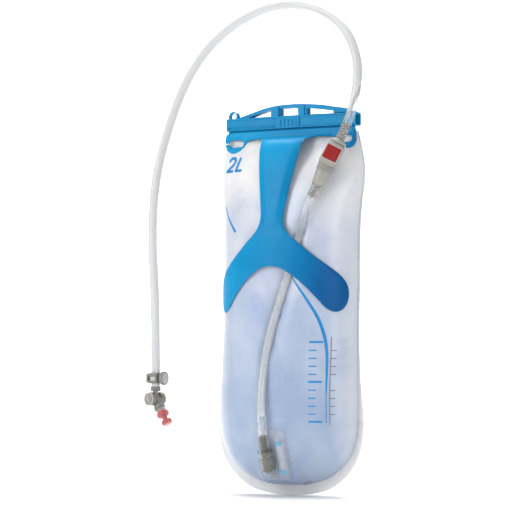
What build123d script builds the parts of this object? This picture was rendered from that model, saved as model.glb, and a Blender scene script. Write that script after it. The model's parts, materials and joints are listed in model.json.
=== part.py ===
from build123d import *
import math
import os

# Soft drinking-water reservoir with a slide-on closure, a Y-shaped backer plate, a quick-release
# coupling and a long drinking hose that ends in a swivelling bite valve. Millimetres, +Z up.
# Heights in this file are counted from the foot of the bag. The written parts are moved so that
# the origin is midway between the two hang slots, which hold the reservoir up in a pack.
# The front of the reservoir faces -Y.

# bag: height of a section, half width at the weld, depth of the front film, depth of the back film
BAG_SECTIONS = [
    (372, 74, 3.6, 3.6),
    (362, 76, 4.6, 4.4),
    (352, 78, 7.2, 7),
    (340, 80, 18, 14),
    (325, 80.5, 29, 20),
    (300, 77, 34.5, 25),
    (260, 74.5, 36.2, 28),
    (200, 74, 36.8, 29),
    (140, 75, 38.2, 30),
    (95, 76.5, 39.4, 30),
    (62, 76, 38.8, 28),
    (41, 68, 34, 25),
    (25, 53, 25.5, 18),
    (15, 34, 12, 9),
    (11.2, 20, 3, 2.6),
]
# outline of the weld flange: half width, height
FLANGE = [
    (76, 372), (80.5, 352), (83, 335), (82.5, 318), (80, 300), (77.8, 262), (77.2, 200),
    (78, 150), (80.5, 110), (84, 80), (84, 62), (78.5, 40), (66, 22), (47, 8), (25, 2), (0, 0),
]
FILM_T = 1.0
FLANGE_T = 0.9

# closure: rail, folded mouth and slider
RAIL_LENGTH = 141.0
RAIL_HALF_Y = 2.6
RAIL_Z = (380.6, 385.4)
FOLD_T = 0.9
FOLD_GAP = 0.1
SLIDER_HALF_X = 75.0
SLIDER_HALF_Y = 7.2
SLIDER_Z = (377.5, 391.0)
SLIDER_WALL = 2.2
SLIDER_SLOT_HALF_Y = 1.6
SLIDER_LIP_H = 1.3
CAP_LENGTH = 4.0
# top edge of the finger arch, and the three windows under it: length, height
ARCH_TOP = [
    (-68, 389.5), (-58, 392.2), (-42, 396.6), (-24, 400.9), (-9, 402.3), (6, 402.6), (21, 401.8),
    (40, 399.6), (52, 397.4), (64, 395.4), (74, 391.5),
]
ARCH_WINDOWS = [
    [(-50, 391), (-22.5, 398.4), (-22.5, 391)],
    [(-13, 391), (-13, 398.9), (9.8, 398.9), (9.8, 391)],
    [(19.5, 391), (19.5, 398.0), (50, 393.8), (50, 391)],
]
ARCH_Y = (-6.2, 2.8)
POST_CENTRES = (-16.8, 13.4)
POST_WIDTH = 7.0
POST_TOP = 401.2
POST_Y = (-7.6, 5.4)
BOSS_X = -1.5
BOSS_SIZE = (26.0, 1.6, 11.0)
GRIP_RIBS = 5
GRIP_PITCH = 4.5
FRONT_RIDGES = [(-43.0, 50.0), (40.0, 52.0)]
EYE_CENTRE = (-69.5, 393.0)
EYE_R = 6.2
EYE_HOLE_R = 3.4
EYE_HALF_Y = 1.6

# backer plate
PLATE_T = 2.0
LEDGE_RISE = 1.2
BAR_T = 2.5
BAR_Y = -6.0
BAR_Z = (367.5, 376.3)
BAR_HALF_X = 60.0
HANG_Z = 364.5
HANG_X = 63.0
HANG_SLOT_R = 3.8
HANG_SLOT_LENGTH = 17.0
TAB_HALF_X = 13.0
TAB_Z = (354.2, 376.3)
TAB_R = 7.0
# inner face of the curved plate: height, half width and depth of the ellipse that it follows
PLATE_SECTIONS = [
    (374, 150, 6.0),
    (369, 140, 8.0),
    (365.5, 128, 19.5),
    (358, 110, 27.0),
    (348, 95, 31.5),
    (335, 88, 35.5),
    (318, 83, 39.8),
    (295, 79, 44),
    (262, 78, 49.6),
    (225, 77, 50.4),
    (185, 76.8, 50.2),
    (160, 76.6, 49.2),
]
# half outline of stem and arms, from the crossbar down to the arch between the arms
PLATE_OUTLINE = [
    (30, 371), (26, 364), (22.5, 352), (20.5, 330), (16, 305), (13, 284), (14, 275), (21, 266),
    (33, 257), (52, 238), (68, 223.5), (74.5, 214), (75.4, 200), (72, 188), (64.5, 186), (54, 194),
    (42, 208), (30, 220), (16, 230), (0, 234),
]

# filling and drinking port at the foot of the front film
PORT_ORIGIN = (-2.0, -35.8, 45.0)
PORT_LEAN = 19.0
PORT_BASE = (30.0, 54.0, 1.6)
PORT_BASE_DROP = 2.0
PORT_AXIS_X = -6.4
PORT_AXIS_Y = 7.9
HOUSING_R = 7.8
COLLAR_R = 5.9
CLIP_X = 9.6

# hoses
HOSE_R = 4.75
HOSE_BORE_R = 3.2
BARB_R = 2.95
BARB_RIB_R = 3.12
BARB_BORE_R = 1.7
BEND_SHARE = 0.45

# quick-release coupling: its lower end, its axis, and the way that its button faces
COUPLING_FOOT = (42.2, -42.0, 302.7)
COUPLING_AXIS = (0.3826, 0.2421, 0.8916)
BUTTON_WAY = (0.40, -0.90, 0.0)
SOCKET_BORE_R = 5.06
PLUG_R = 5.0
BODY_HALF = (9.3, 8.4)
BODY_S = (36.0, 60.0)
BUTTON_SIZE = (15.0, 14.4)
BEZEL_SIZE = (17.6, 17.2)
BUTTON_S = 48.4

# bite valve at the far end of the drinking hose
VALVE_X = -166.0
VALVE_Z = 97.0
VALVE_YAW = -14.0
OUTLET_TILT = 35.0
SPOOL_R = 5.0
BARREL_R = 7.2
BARREL_HALF = 8.6
SPOOL_SEAL_Y = 5.5
SWIVEL_R = 3.0
RUNNING = 0.06
HOSE_END_Z = 110.0

# magnet clip on the drinking hose
CLIP_Z = (113.0, 125.0)
CLIP_R = 6.5
MAGNET_X = 8.6
MAGNET_R = 7.3
MAGNET_T = 3.6

LOWER_ROUTE = [
    (-8.4, -45.61, 49.24),
    (-8.4, -52.71, 69.85),
    (-10.2, -50.4, 101.0),
    (-8.6, -46.0, 138.0),
    (-0.5, -44.0, 174.0),
    (10.5, -42.0, 208.0),
    (21.5, -41.0, 241.0),
    (31.0, -41.2, 272.0),
    (39.1, -43.96, 295.47),
    (47.52, -38.63, 315.09),
]
UPPER_ROUTE = [
    (67.45, -26.02, 361.55),
    (76.63, -20.21, 382.95),
    (81.0, -15.5, 410.0),
    (82.6, -13.0, 441.0),
    (67.0, -11.0, 478.0),
    (31.0, -8.0, 502.0),
    (-12.0, -5.5, 508.5),
    (-62.0, 4.0, 498.0),
    (-107.0, 10.0, 472.5),
    (-139.0, 15.0, 435.5),
    (-161.0, 17.5, 389.5),
    (-176.8, 16.5, 336.0),
    (-178.8, 12.0, 275.5),
    (-170.8, 5.5, 215.0),
    (-166.0, 0.0, 160.0),
    (-166.0, 0.0, 110.0),
]
TETHER_ROUTE = [
    (-79.4, -8.4, 363.6),
    (-86.6, -9.6, 358.6),
    (-94.6, -9.8, 360.0),
    (-94.8, -8.2, 373.0),
    (-88.0, -5.8, 390.0),
    (-76.5, -4.0, 403.6),
    (-63.5, -3.2, 411.6),
    (-55.6, -3.2, 406.6),
    (-61.5, -4.2, 399.4),
    (-69.0, -3.6, 395.2),
    (-69.6, 3.0, 393.4),
]
TETHER_R = 1.3
TETHER_LOOP_T = 1.1
TETHER_LOOP_H = 3.0

HANG_PLANE_Y = BAR_Y - BAR_T


def half_ellipse(z, half_x, depth, side, back):
    """A section of the bag: half an ellipse towards side, closed straight, back behind its axis."""
    with BuildSketch(Plane.XY.offset(z)) as sketch:
        with BuildLine():
            EllipticalCenterArc((0, 0), half_x, depth, 180 if side < 0 else 0, arc_size=180)
            if back:
                y = -side * back
                Polyline((-half_x, 0), (-half_x, y), (half_x, y), (half_x, 0))
            else:
                Line((-half_x, 0), (half_x, 0))
        make_face()
    return sketch.sketch


def lofted(sections, grow, side, back):
    """The solid through half ellipses, each grown by grow."""
    faces = [half_ellipse(z, a + grow, b + grow, side, back).face() for z, a, b in sections]
    return loft(faces, ruled=True)


def flange_face():
    """The flat outline of the weld flange, in the XZ plane."""
    right = [(x, z) for x, z in FLANGE]
    left = [(-x, z) for x, z in reversed(FLANGE[:-1])]
    with BuildSketch(Plane.XZ) as sketch:
        with BuildLine():
            Spline(right + left)
            Line(left[-1], right[0])
        make_face()
    return sketch.sketch


def film(side):
    """One of the two film panels: a dished belly with its weld flange, welded to the other at Y = 0."""
    column = 2 if side < 0 else 3
    outer = [(s[0], s[1], s[column]) for s in BAG_SECTIONS]
    inner = [(z, a - FILM_T, b - FILM_T) for z, a, b in outer[:-1]]
    inner[0] = (outer[0][0] - FILM_T, inner[0][1], inner[0][2])
    hollow = lofted(inner, 0, side, 1.0)
    belly = lofted(outer, 0, side, 0) - hollow
    flange = extrude(flange_face(), amount=FLANGE_T, dir=(0, side, 0)) - hollow
    return belly + flange


def mouth_rail():
    """The stiff strip that the mouth of the bag is folded over, inside the slider."""
    low, high = RAIL_Z
    rail = Box(RAIL_LENGTH, 2 * RAIL_HALF_Y, high - low)
    rail = fillet(rail.edges().filter_by(Axis.X), 1.2)
    return Pos(0, 0, (low + high) / 2) * rail


def folded_mouth():
    """Both films together, taken up from the bag and folded over the rail to the front."""
    low, high = RAIL_Z[0] - FOLD_GAP, RAIL_Z[1] + FOLD_GAP
    reach = RAIL_HALF_Y + FOLD_GAP
    half = RAIL_LENGTH / 2
    points = [
        (-0.9, 372), (0.9, 372), (0.9, low - FOLD_T), (reach + FOLD_T, low - FOLD_T),
        (reach + FOLD_T, high + FOLD_T), (-reach - FOLD_T, high + FOLD_T), (-reach - FOLD_T, low + 0.4),
        (-reach, low + 0.4), (-reach, high), (reach, high), (reach, low), (-0.9, low),
    ]
    with BuildSketch(Plane.YZ) as sketch:
        with BuildLine():
            Polyline(points, close=True)
        make_face()
    return extrude(sketch.sketch, amount=half, both=True)


def slider_channel():
    """The C-shaped channel, closed at its left end and open at its right end."""
    low, high = SLIDER_Z
    length = 2 * SLIDER_HALF_X
    body = Box(length, 2 * SLIDER_HALF_Y, high - low)
    body = fillet(body.edges().filter_by(Axis.X), 2.4)
    body = Pos(0, 0, (low + high) / 2) * body
    inside_z = (low + SLIDER_LIP_H, high - SLIDER_WALL)
    cavity = Box(length, 2 * (SLIDER_HALF_Y - SLIDER_WALL), inside_z[1] - inside_z[0])
    slot = Box(length, 2 * SLIDER_SLOT_HALF_Y, 4 * SLIDER_LIP_H)
    body -= Pos(CAP_LENGTH, 0, sum(inside_z) / 2) * cavity
    return body - Pos(CAP_LENGTH, 0, low) * slot


def slider_arch():
    """The finger arch over the channel, with its two posts."""
    with BuildSketch(Plane.XZ) as sketch:
        with BuildLine():
            Spline(ARCH_TOP)
            Line(ARCH_TOP[-1], ARCH_TOP[0])
        make_face()
        for window in ARCH_WINDOWS:
            with BuildLine():
                Polyline(window, close=True)
            make_face(mode=Mode.SUBTRACT)
    arch = extrude(sketch.sketch, amount=ARCH_Y[1] - ARCH_Y[0], dir=(0, -1, 0))
    arch = Pos(0, ARCH_Y[1], 0) * arch
    height = (SLIDER_Z[1] - 1.0, POST_TOP)
    for x in POST_CENTRES:
        post = Box(POST_WIDTH, POST_Y[1] - POST_Y[0], height[1] - height[0])
        arch += Pos(x, sum(POST_Y) / 2, sum(height) / 2) * post
    return arch


def slider_front():
    """What stands on the front face: a grip boss with its ribs, and two long ridges."""
    face_y = -SLIDER_HALF_Y
    middle_z = sum(SLIDER_Z) / 2
    boss = fillet(Box(*BOSS_SIZE).edges().filter_by(Axis.Y), 2.0)
    parts = Pos(BOSS_X, face_y - 0.5, middle_z - 0.6) * boss
    for i in range(GRIP_RIBS):
        x = BOSS_X + GRIP_PITCH * (i - (GRIP_RIBS - 1) / 2)
        parts += Pos(x, face_y - 1.5, middle_z - 0.6) * Box(1.6, 1.2, 7.0)
    for x, length in FRONT_RIDGES:
        parts += Pos(x, face_y - 0.3, SLIDER_Z[0] + 2.9) * Box(length, 1.4, 1.5)
    return parts


def top_slider():
    """Closure bar: channel, finger arch, posts and the eye for the tether."""
    x, z = EYE_CENTRE
    eye = Pos(x, 0, z) * Rot(90, 0, 0) * Cylinder(EYE_R, 2 * EYE_HALF_Y)
    hole = Pos(x, 0, z + 0.6) * Rot(90, 0, 0) * Cylinder(EYE_HOLE_R, 40)
    body = slider_channel() + slider_arch() + slider_front() + eye - hole
    inside = Box(2 * SLIDER_HALF_X, 2 * (SLIDER_HALF_Y - SLIDER_WALL), 6)
    return body - Pos(CAP_LENGTH, 0, SLIDER_Z[1] - SLIDER_WALL - 3) * inside


def plate_outline():
    """Stem and arms as a flat outline in the XZ plane, to be cut into the curved plate."""
    right = PLATE_OUTLINE
    left = [(-x, z) for x, z in reversed(right[:-1])]
    with BuildSketch(Plane.XZ) as sketch:
        with BuildLine():
            Spline(right + left)
            Line(left[-1], right[0])
        make_face()
    return sketch.sketch


def hang_tab(way):
    """A tab beside the mouth with a slot that hangs the reservoir up."""
    low, high = TAB_Z
    tab = Box(2 * TAB_HALF_X, BAR_T, high - low)
    tab = fillet(tab.edges().filter_by(Axis.Y), TAB_R)
    tab = Pos(way * HANG_X, BAR_Y - BAR_T / 2, (low + high) / 2) * tab
    with BuildSketch(Plane.XZ) as sketch:
        with Locations((way * HANG_X, HANG_Z)):
            SlotOverall(HANG_SLOT_LENGTH, 2 * HANG_SLOT_R)
    return tab, extrude(sketch.sketch, amount=30, both=True)


def backer_plate():
    """Crossbar with its two hang tabs, the stem and the two arms that hold the bag in shape."""
    outer = Pos(0, 0, LEDGE_RISE) * lofted(PLATE_SECTIONS, PLATE_T, -1, 0)
    inner = lofted(PLATE_SECTIONS, 0, -1, 1.0)
    curved = (outer - inner) & extrude(plate_outline(), amount=80, dir=(0, -1, 0))
    low, high = BAR_Z
    bar = Box(2 * BAR_HALF_X, BAR_T, high - low)
    plate = Pos(0, BAR_Y - BAR_T / 2, (low + high) / 2) * bar + curved
    for way in (-1, 1):
        tab, slot = hang_tab(way)
        plate = plate + tab - slot
    return plate


def barb(low, high, ribs):
    """A hose barb on the Z axis between two heights, with ribs that stay inside the hose's bore."""
    shape = Pos(0, 0, (low + high) / 2) * Cylinder(BARB_R, high - low)
    pitch = (high - low) / (ribs + 1)
    for i in range(ribs):
        z = low + pitch * (i + 1)
        shape += Pos(0, 0, z) * Cone(BARB_RIB_R, BARB_R - 0.05, pitch * 0.6)
    return shape


def hose(route):
    """A hose along straight runs joined by tangent arcs, each as large as its two runs allow."""
    points = [Vector(*p) for p in route]
    runs = [b - a for a, b in zip(points, points[1:])]
    radii = []
    for before, after in zip(runs, runs[1:]):
        turn = math.radians(before.get_angle(after))
        radii.append(BEND_SHARE * min(before.length, after.length) / math.tan(turn / 2))
    path = FilletPolyline(*points, radius=radii)
    return path, runs[0], radii


def hose_tube(name, route, radius, bore):
    """The hose's solid, with its length, bend radii and volume printed for comparison."""
    path, start, radii = hose(route)
    plane = Plane(origin=route[0], z_dir=start)
    with BuildSketch(plane) as sketch:
        Circle(radius)
        if bore:
            Circle(bore, mode=Mode.SUBTRACT)
    tube = sweep(sketch.sketch, path=path)
    wanted = math.pi * (radius**2 - bore**2) * path.length
    print(name, "length", round(path.length, 1), "radii", [round(r) for r in radii])
    print(name, "volume", round(tube.volume), "section times length", round(wanted))
    return tube


def port_place():
    """The port's frame: X across, Z up along the film, -Y out of the film."""
    return Pos(*PORT_ORIGIN) * Rot(PORT_LEAN, 0, 0)


def port_parts():
    """Base plate, clear housing, grey barb, seal, side clip and its two pads."""
    width, height, thick = PORT_BASE
    base = Box(width, thick, height)
    base = fillet(base.edges().filter_by(Axis.Y), 6)
    rim = Box(width - 3, 1.0, height - 3) - Box(width - 6, 3, height - 6)
    base = Pos(0, -thick / 2, 0) * base + Pos(0, -thick - 0.3, 0) * rim
    base = Pos(0, 0, -PORT_BASE_DROP) * base
    front = -thick - 1.2
    x, y = PORT_AXIS_X, -PORT_AXIS_Y

    housing = Pos(x, y, -8.5) * Cylinder(HOUSING_R, 27)
    housing += Pos(x, (y + front) / 2, -8.5) * Box(2 * HOUSING_R - 2, front - y, 27)
    housing -= Pos(x, front + 5, -8.5) * Box(60, 10, 60)
    housing -= Pos(x, y, -5.0) * Cylinder(COLLAR_R + RUNNING, 24)
    housing = housing.solid()

    collar = Pos(x, y, -5.0) * Cylinder(COLLAR_R, 20)
    groove = Cylinder(COLLAR_R + 1, 2.0) - Cylinder(COLLAR_R - 1.6, 2.0)
    collar -= Pos(x, y, -9.0) * groove
    grey = collar + Pos(x, y, 0) * barb(4.9, 20, 5)
    grey += Pos(x, y, 6.0) * Cone(5.0, 4.0, 2.0)
    grey -= Pos(x, y, 4) * Cylinder(BARB_BORE_R, 60)
    seal = Pos(x, y, -9.0) * Torus(COLLAR_R - 0.75, 0.7)

    clip = Pos(CLIP_X, front - 1.6, -3) * fillet(Box(7, 3.2, 40).edges().filter_by(Axis.Y), 1.5)
    pads = [Pos(CLIP_X, front - 3.9, -3 + way * 15.5) * Box(5.6, 1.2, 4.6) for way in (-1, 1)]
    place = port_place()
    return {
        "port_base": place * base,
        "port_housing": place * housing,
        "port_barb": place * grey,
        "port_seal": place * seal,
        "port_clip": place * clip,
        "port_clip_pads": place * (pads[0] + pads[1]),
    }


def coupling_place():
    """The coupling's frame: Z along its axis, and the button facing -Y."""
    axis = Vector(*COUPLING_AXIS).normalized()
    way = Vector(*BUTTON_WAY)
    across = axis.cross(way).normalized()
    across = across if across.X > 0 else across * -1
    return Plane(origin=COUPLING_FOOT, x_dir=across, z_dir=axis).location


def between(shape_radius, low, high):
    """A cylinder on the Z axis between two heights."""
    return Pos(0, 0, (low + high) / 2) * Cylinder(shape_radius, high - low)


def socket_parts():
    """The fixed half of the coupling, with its check valve, seals and release button."""
    low, high = BODY_S
    block = Box(2 * BODY_HALF[0], 2 * BODY_HALF[1], high - low)
    block = fillet(block.edges().filter_by(Axis.Z), 3.0)
    body = Pos(0, 0, (low + high) / 2) * block
    body += Pos(0, 0, (14 + low) / 2 + 0.5) * Cone(5.9, 8.3, low - 13)
    body += barb(1.0, 14.2, 4)
    body -= between(SOCKET_BORE_R, 30, 61)
    body -= between(BARB_BORE_R, 0, 31)
    pocket = Box(BUTTON_SIZE[0] + 0.5, 8.4, BUTTON_SIZE[1] + 0.5)
    body -= Pos(0, -BODY_HALF[1] - 1.4, BUTTON_S) * pocket
    window = Box(13.2, 8.0, 3.0)
    body -= Pos(0, -BODY_HALF[1] + 3.0, BUTTON_S) * window

    frame = Box(BEZEL_SIZE[0], 1.4, BEZEL_SIZE[1]) - Box(BUTTON_SIZE[0] + 0.6, 5, BUTTON_SIZE[1] + 0.6)
    bezel = Pos(0, -BODY_HALF[1] - 0.7, BUTTON_S) * fillet(frame.edges().filter_by(Axis.Y), 0.2)

    button = Box(BUTTON_SIZE[0], 2.4, BUTTON_SIZE[1])
    button = fillet(button.faces().sort_by(Axis.Y)[0].edges(), 0.7)
    button = Pos(0, -BODY_HALF[1] - 0.9, BUTTON_S) * button
    latch = Pos(0, -BODY_HALF[1] + 0.85, BUTTON_S) * Box(9.6, 1.1, 1.6)
    springs = []
    for way in (-1, 1):
        coil = Pos(way * 6.1, -BODY_HALF[1] + 1.55, BUTTON_S) * Rot(90, 0, 0) * (
            Cylinder(1.0, 2.4) - Cylinder(0.6, 5)
        )
        springs.append(coil)

    check_spring = between(2.6, 31.2, 34.4) - between(2.0, 30, 36)
    poppet = between(4.2, 34.6, 36.2) + between(1.7, 31.6, 34.7)
    return {
        "socket_body": body,
        "button_bezel": bezel,
        "release_button": button,
        "latch_bar": latch,
        "button_springs": springs[0] + springs[1],
        "check_valve_spring": check_spring,
        "check_valve_poppet": poppet,
    }


def plug_parts():
    """The half of the coupling that pulls out with the drinking hose."""
    plug = between(PLUG_R, 38, 60.3)
    ring = between(PLUG_R + 1, 41, 43) - between(PLUG_R - 1.3, 40, 44)
    plug -= ring
    plug += between(8.6, 60.2, 63.4)
    plug += Pos(0, 0, 64.6) * Cone(7.2, 4.6, 2.8)
    plug += barb(65.9, 84, 5)
    plug -= between(BARB_BORE_R, 30, 90)
    seal = Pos(0, 0, 42) * Torus(PLUG_R - 0.62, 0.6)
    return {"plug_body": plug, "plug_seal": seal}


def valve_place():
    return Pos(VALVE_X, 0, VALVE_Z) * Rot(0, 0, VALVE_YAW)


def valve_parts():
    """Hose fitting, swivelling spool, rotating barrel with its outlet, mouthpiece and inner valve."""
    top = HOSE_END_Z - VALVE_Z
    fitting = between(5.5, 8.2, top - 0.05) + barb(top - 0.1, top + 13, 4)
    fitting -= between(SWIVEL_R + RUNNING, 5, top - 1.0)
    fitting -= between(BARB_BORE_R, 5, 40)

    spool = Rot(90, 0, 0) * Cylinder(SPOOL_R, 2 * BARREL_HALF - 1)
    spool += between(SWIVEL_R, 0, top - 1.3)
    for y in (-SPOOL_SEAL_Y, SPOOL_SEAL_Y):
        groove = Cylinder(SPOOL_R + 1, 1.8) - Cylinder(SPOOL_R - 1.3, 2.0)
        spool -= Pos(0, y, 0) * Rot(90, 0, 0) * groove
    spool -= between(BARB_BORE_R, -20, 40)
    ring = Rot(90, 0, 0) * Torus(SPOOL_R - 0.62, 0.6)
    rings = [Pos(0, way * SPOOL_SEAL_Y, 0) * ring for way in (-1, 1)]

    tilt = Rot(0, -OUTLET_TILT, 0)
    barrel = Rot(90, 0, 0) * Cylinder(BARREL_R, 2 * BARREL_HALF)
    barrel += tilt * between(5.2, -17.5, -3)
    barrel += tilt * between(6.2, -12.0, -9.5)
    barrel -= tilt * between(2.4, -30, 0)
    with BuildSketch(Plane.XZ) as wedge:
        with BuildLine():
            Polyline((0, 0), (-40, 10.0), (-40, 40), (40, 40), (40, 10.0), close=True)
        make_face()
    barrel -= extrude(wedge.sketch, amount=SWIVEL_R + 0.5, both=True)
    barrel -= Rot(90, 0, 0) * Cylinder(SPOOL_R + RUNNING, 2 * BARREL_HALF - 0.6)
    barrel = barrel.solids().sort_by(SortBy.VOLUME)[-1]

    cap = Pos(0, -BARREL_HALF - 1.2, 0) * Rot(90, 0, 0) * Cylinder(6.9, 2.4)
    cap += Pos(0, -BARREL_HALF - 2.7, 0) * Rot(90, 0, 0) * (Cylinder(5.0, 0.8) - Cylinder(3.6, 4))
    cap += Pos(0, -BARREL_HALF - 2.7, 0) * Rot(90, 0, 0) * Cylinder(1.8, 0.8)

    lever = Pos(-7.0, -BARREL_HALF - 1.2, -9.9) * Rot(0, 28, 0) * fillet(
        Box(6.5, 1.6, 9.0).edges().filter_by(Axis.Y), 2.0
    )

    lips = tilt * (between(6.9, -24, -13.2) + Pos(0, 0, -29.5) * Cone(5.6, 6.9, 11))
    lips -= tilt * between(5.24, -17.6, -10)
    lips -= tilt * between(4.4, -31.5, -17)
    inner = tilt * (between(4.2, -20.0, -17.8) + between(1.6, -27, -20) + between(3.9, -29.6, -26.8))
    place = valve_place()
    return {
        "valve_fitting": place * fitting,
        "valve_spool": place * spool,
        "spool_seals": place * (rings[0] + rings[1]),
        "valve_barrel": place * barrel,
        "barrel_end_cap": place * cap,
        "valve_lever": place * lever,
        "mouthpiece": place * lips,
        "mouthpiece_valve": place * inner,
    }


def clip_parts():
    """The magnet clip on the drinking hose: a split sleeve with a window, and a magnet in a cup."""
    low, high = CLIP_Z
    middle = (low + high) / 2
    sleeve = between(CLIP_R, low, high)
    arm = Pos(MAGNET_X / 2 + 1.5, 0, middle) * Box(MAGNET_X, 6.0, 8.0)
    cup = Pos(MAGNET_X + MAGNET_T / 2, 0, middle) * Rot(0, 90, 0) * Cylinder(MAGNET_R, MAGNET_T)
    pocket = Pos(MAGNET_X + MAGNET_T - 1.4, 0, middle) * Rot(0, 90, 0) * Cylinder(MAGNET_R - 1.2, 3.0)
    body = sleeve + arm + cup - pocket
    body -= between(HOSE_R + RUNNING, low - 1, high + 1)
    body -= Pos(0, -CLIP_R, middle) * Box(2 * CLIP_R - 2.4, 2 * CLIP_R - 4.0, 4.6)
    magnet = Pos(MAGNET_X + MAGNET_T - 1.5, 0, middle) * Rot(0, 90, 0) * Cylinder(MAGNET_R - 1.25, 2.7)
    place = Pos(VALVE_X, 0, 0)
    return {"magnet_clip": place * body, "magnet": place * magnet}


def tether_loop():
    """The strap's loop through the left hang slot, round the slot's outer rim."""
    rim = (HANG_X + HANG_SLOT_LENGTH / 2, HANG_X + TAB_HALF_X)
    inner = (rim[1] - rim[0] + 1.6, BAR_T + 0.8)
    outer = [size + 2 * TETHER_LOOP_T for size in inner]
    loop = Box(*outer, TETHER_LOOP_H) - Box(*inner, 2 * TETHER_LOOP_H)
    loop = fillet(loop.edges().filter_by(Axis.Z).group_by(SortBy.DISTANCE)[-1], 0.8)
    return Pos(-sum(rim) / 2, BAR_Y - BAR_T / 2, HANG_Z) * loop


def all_parts():
    """Every node's solid, in bag heights."""
    place = coupling_place()
    parts = {
        "front_film": film(-1),
        "back_film": film(1),
        "folded_mouth": folded_mouth(),
        "mouth_rail": mouth_rail(),
        "backer_plate": backer_plate(),
        "top_slider": top_slider(),
        "tether_loop": tether_loop(),
        "tether": hose_tube("tether", TETHER_ROUTE, TETHER_R, 0),
        "lower_hose": hose_tube("lower_hose", LOWER_ROUTE, HOSE_R, HOSE_BORE_R),
        "upper_hose": hose_tube("upper_hose", UPPER_ROUTE, HOSE_R, HOSE_BORE_R),
    }
    parts |= port_parts()
    parts |= {name: place * shape for name, shape in (socket_parts() | plug_parts()).items()}
    parts |= valve_parts() | clip_parts()
    return parts


os.makedirs("parts", exist_ok=True)
for node, shape in all_parts().items():
    export_step(Pos(0, -HANG_PLANE_Y, -HANG_Z) * shape, f"parts/{node}.step")
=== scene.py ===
import json
import math

import bmesh
import bpy
from mathutils import Matrix, Vector, noise
from mathutils.bvhtree import BVHTree
from mathutils.geometry import delaunay_2d_cdt


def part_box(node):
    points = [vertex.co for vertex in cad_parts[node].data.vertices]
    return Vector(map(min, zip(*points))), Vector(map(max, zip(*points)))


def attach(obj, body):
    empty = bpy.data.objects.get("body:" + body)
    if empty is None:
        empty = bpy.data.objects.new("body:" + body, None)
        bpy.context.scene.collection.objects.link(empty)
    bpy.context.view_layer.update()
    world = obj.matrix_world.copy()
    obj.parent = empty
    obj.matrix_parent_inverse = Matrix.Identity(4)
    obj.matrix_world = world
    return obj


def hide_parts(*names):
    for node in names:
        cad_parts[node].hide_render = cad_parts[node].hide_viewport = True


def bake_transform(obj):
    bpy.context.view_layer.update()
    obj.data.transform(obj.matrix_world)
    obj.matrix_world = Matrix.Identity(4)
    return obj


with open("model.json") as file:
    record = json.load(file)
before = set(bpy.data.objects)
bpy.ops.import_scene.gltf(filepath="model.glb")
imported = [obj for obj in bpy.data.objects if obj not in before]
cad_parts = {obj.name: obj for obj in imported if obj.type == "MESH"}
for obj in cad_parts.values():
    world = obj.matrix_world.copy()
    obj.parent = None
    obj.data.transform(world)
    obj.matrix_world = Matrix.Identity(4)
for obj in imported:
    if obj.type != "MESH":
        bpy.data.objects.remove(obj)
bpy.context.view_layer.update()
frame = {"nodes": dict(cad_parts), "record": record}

# Lengths below are millimetres in the bag's own terms: X across, Y from the weld plane with the front
# at -Y, Z up from the foot of the bag. at() takes them into the frame, in metres.
MM = 0.001
WELD_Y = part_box("back_film")[0].y
FOOT_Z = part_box("back_film")[0].z


def at(x, y, z):
    return Vector((x * MM, WELD_Y + y * MM, FOOT_Z + z * MM))


# ---------------------------------------------------------------- camera, light and floor

CAMERA_AZIMUTH = math.radians(28.0)
CAMERA_DISTANCE = 2.2
CAMERA_HEIGHT = 0.148
CAMERA_LENS = 150.6
AIM_LEFT = 0.0178
AIM_UP = 0.0450
TOWARD = Vector((-math.sin(CAMERA_AZIMUTH), math.cos(CAMERA_AZIMUTH), 0))
RIGHT = Vector((math.cos(CAMERA_AZIMUTH), math.sin(CAMERA_AZIMUTH), 0))
UP = Vector((0, 0, 1))

# How far the floor runs before and behind the object before it curves up, in metres.
FLOOR_FRONT = 3.0
FLOOR_BACK = 2.6
FLOOR_HALF_WIDTH = 3.5
CURVE_RADIUS = 1.2
CURVE_STEPS = 16
BACKDROP_RISE = 2.2


def make_camera():
    data = bpy.data.cameras.new("camera")
    data.lens = CAMERA_LENS
    data.sensor_width = 36
    data.clip_end = 20
    camera = bpy.data.objects.new("camera", data)
    bpy.context.collection.objects.link(camera)
    camera.location = at(0, 0, 0) - TOWARD * CAMERA_DISTANCE + UP * CAMERA_HEIGHT
    aim = (TOWARD - AIM_LEFT * RIGHT + UP * AIM_UP).normalized()
    camera.rotation_euler = aim.to_track_quat("-Z", "Y").to_euler()
    bpy.context.scene.camera = camera
    bpy.context.scene.view_settings.view_transform = "Standard"


def area_light(name, place, target, size, watts):
    data = bpy.data.lights.new(name, "AREA")
    data.shape = "RECTANGLE"
    data.size, data.size_y = size
    data.energy = watts
    lamp = bpy.data.objects.new(name, data)
    bpy.context.collection.objects.link(lamp)
    lamp.location = place
    lamp.rotation_euler = (target - place).to_track_quat("-Z", "Y").to_euler()


def make_lights():
    world = bpy.data.worlds.new("studio")
    bpy.context.scene.world = world
    world.use_nodes = True
    background = world.node_tree.nodes["Background"]
    background.inputs["Color"].default_value = (0.95, 0.97, 1.0, 1)
    background.inputs["Strength"].default_value = 0.36
    foot, middle = at(0, 0, 0), at(0, 0, 200)
    area_light("key", foot - TOWARD * 1.25 - RIGHT * 1.7 + UP * 1.1, middle, (0.9, 1.3), 24)
    area_light("fill", foot - TOWARD * 1.7 + RIGHT * 0.9 + UP * 0.5, middle, (0.7, 0.7), 6)
    area_light("top", foot + TOWARD * 0.25 + UP * 1.9, foot, (1.6, 1.6), 38)
    area_light("wash", foot + TOWARD * 1.3 + UP * 2.2, at(0, 0, 300) + TOWARD * 3.4, (2.6, 1.2), 110)


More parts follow.
